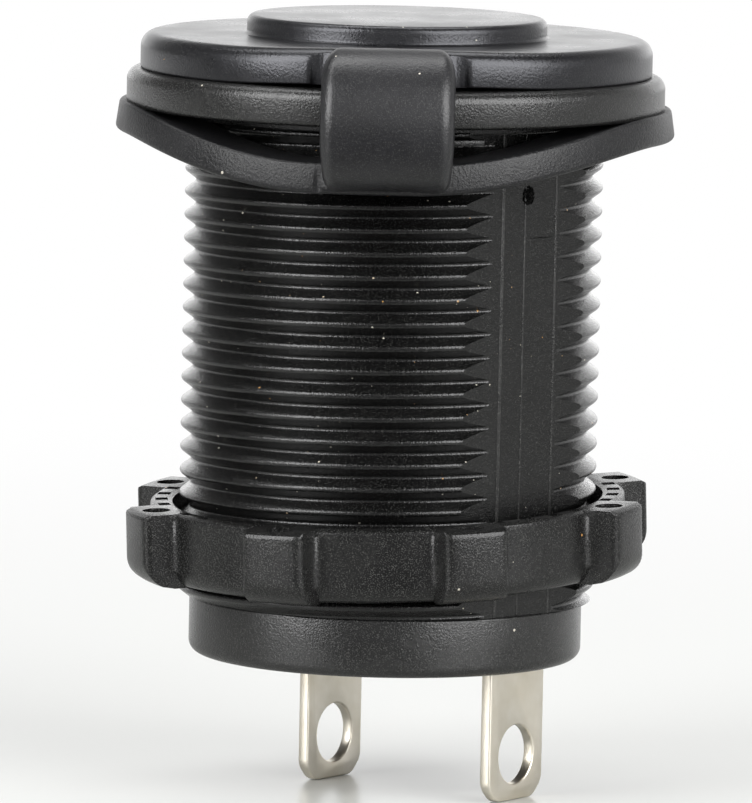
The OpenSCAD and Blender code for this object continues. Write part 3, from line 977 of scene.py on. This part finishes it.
for name, offset, top, leg in (("positive_tab", 4.4, -33.4, 6.4), ("negative_tab", -10.7, -32.6, 5.9)):
    tab = flat_tab(name + "_blank", offset, top, leg)
    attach(tab, "socket")
    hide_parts(name)

# the pieces inside keep their own meshes
INSIDE = {
    "base_plate": eroded_nylon,
    "contact_cup": nickel,
    "upper_insulator": fibre,
    "centre_contact": nickel,
    "lower_insulator": fibre,
    "centre_rivet": nickel,
    "negative_rivet": nickel,
}
for name, material in INSIDE.items():
    for material_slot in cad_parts[name].material_slots:
        material_slot.material = material


# floor, light and camera
# the floor lies just under the tips of the tabs
FLOOR_AT = -46.42


def studio_floor():
    """A pale glossy floor, darker in front of the object and fading into white behind it."""
    nothing_selected()
    bpy.ops.mesh.primitive_plane_add(size=3, location=(0, 0, FLOOR_AT * MM))
    floor = named("floor")
    material = bpy.data.materials.new("pale_studio_floor")
    material.use_nodes = True
    tree = material.node_tree
    shader = tree.nodes["Principled BSDF"]
    shader.inputs["Roughness"].default_value = 0.3
    place = add(tree, "ShaderNodeTexCoord").outputs["Object"]
    depth = add(tree, "ShaderNodeSeparateXYZ", [(place, "Vector")]).outputs["Y"]
    front = strength_between(tree, depth, -0.1, -0.02, 0.0, 1.0)
    tone = add(tree, "ShaderNodeMix", [(front, "Factor")], data_type="RGBA")
    tone.inputs[6].default_value = linear("424242")
    tone.inputs[7].default_value = linear("b2b3b0")
    tree.links.new(tone.outputs[2], shader.inputs["Base Color"])
    fade = strength_between(tree, depth, 0.0, 0.22, 0.0, 1.0)
    glow = add(tree, "ShaderNodeEmission", Strength=1.0)
    glow.inputs["Color"].default_value = (1, 1, 1, 1)
    both = add(tree, "ShaderNodeMixShader", [(fade, 0), (shader.outputs[0], 1), (glow.outputs[0], 2)])
    tree.links.new(both.outputs[0], tree.nodes["Material Output"].inputs["Surface"])
    floor.data.materials.append(material)
    return floor


def studio_world():
    """The studio as the object sees it: bright backdrop low behind, dim ceiling, moderate front and sides."""
    world = bpy.data.worlds.new("studio")
    bpy.context.scene.world = world
    world.use_nodes = True
    tree = world.node_tree
    background = tree.nodes["Background"]
    background.inputs["Color"].default_value = (1, 1, 1, 1)
    direction = add(tree, "ShaderNodeTexCoord").outputs["Generated"]
    way = add(tree, "ShaderNodeSeparateXYZ", [(direction, "Vector")]).outputs
    front = strength_between(tree, way["Y"], -0.75, -0.05, WORLD_FRONT, 0.0)
    beside = strength_between(tree, way["Y"], -0.75, -0.05, 0.0, 1.0)
    sides = strength_between(tree, way["X"], -0.6, 0.6, WORLD_LEFT, WORLD_RIGHT)
    back = strength_between(tree, way["Y"], 0.72, 0.99, 0.0, WORLD_BACK)
    high = strength_between(tree, way["Z"], 0.25, 0.75, 1.0, WORLD_TOP)
    low = strength_between(tree, way["Z"], 0.1, 0.4, 1.0, 0.25)
    around = calculated(tree, "ADD", front, calculated(tree, "MULTIPLY", beside, sides))
    room = calculated(tree, "MULTIPLY", around, high)
    backdrop = calculated(tree, "MULTIPLY", back, low)
    power = calculated(tree, "ADD", room, backdrop)
    tree.links.new(power, background.inputs["Strength"])
    # the camera sees plain white
    camera_ray = add(tree, "ShaderNodeLightPath").outputs["Is Camera Ray"]
    white = add(tree, "ShaderNodeBackground", Strength=1.0)
    white.inputs["Color"].default_value = (1, 1, 1, 1)
    links = [(camera_ray, 0), (background.outputs[0], 1), (white.outputs[0], 2)]
    seen = add(tree, "ShaderNodeMixShader", links)
    tree.links.new(seen.outputs[0], tree.nodes["World Output"].inputs["Surface"])


def soft_light(name, at, towards, size, watts):
    """A rectangular soft box at a place in metres, facing a point."""
    lamp = bpy.data.lights.new(name, "AREA")
    lamp.shape = "RECTANGLE"
    lamp.size = size[0]
    lamp.size_y = size[1]
    lamp.energy = watts
    obj = bpy.data.objects.new(name, lamp)
    bpy.context.scene.collection.objects.link(obj)
    obj.location = at
    obj.rotation_euler = (Vector(towards) - Vector(at)).to_track_quat("-Z", "Y").to_euler()


def studio_camera():
    """The camera, placed so that the ellipses open as they do in the photo.

    It is 700 mm in front, 57.5 mm above the flange and a degree and a half to the right.
    """
    away = 0.7
    above = 0.0575
    turn = math.radians(1.5)
    roll = Matrix.Rotation(math.radians(1.2), 4, "Z")
    # the point in the middle of the picture, and its distance from the camera
    aim = Vector((-0.914 * MM, 0, -20.14 * MM))
    aim_away_mm = 704.3
    pixels_per_mm = 14.66
    picture_width = 752
    sensor_width = 36
    camera_data = bpy.data.cameras.new("camera")
    camera = bpy.data.objects.new("camera", camera_data)
    bpy.context.scene.collection.objects.link(camera)
    camera.location = (away * math.sin(turn), -away * math.cos(turn), above)
    look = (aim - camera.location).to_track_quat("-Z", "Y").to_matrix().to_4x4()
    camera.matrix_world = Matrix.Translation(camera.location) @ look @ roll
    camera_data.sensor_fit = "HORIZONTAL"
    camera_data.sensor_width = sensor_width
    camera_data.lens = pixels_per_mm * aim_away_mm * sensor_width / picture_width
    camera_data.clip_start = 0.01
    camera_data.clip_end = 20
    bpy.context.scene.camera = camera
    bpy.context.scene.view_settings.view_transform = "Standard"


floor = studio_floor()
studio_world()
# two tall strip boxes in front, left and right of the camera, draw the bands of light and the crests' lines
soft_light("left_strip", (-0.354, -0.277, 0.225), (0, 0, -0.01), (0.29, 0.45), LEFT_WATTS)
soft_light("right_strip", (0.337, -0.298, 0.225), (0, 0, -0.01), (0.4, 0.45), RIGHT_WATTS)
soft_light("top_box", (-0.12, 0.3, 0.9), (0, 0, 0), (1.0, 0.4), TOP_WATTS)
studio_camera()
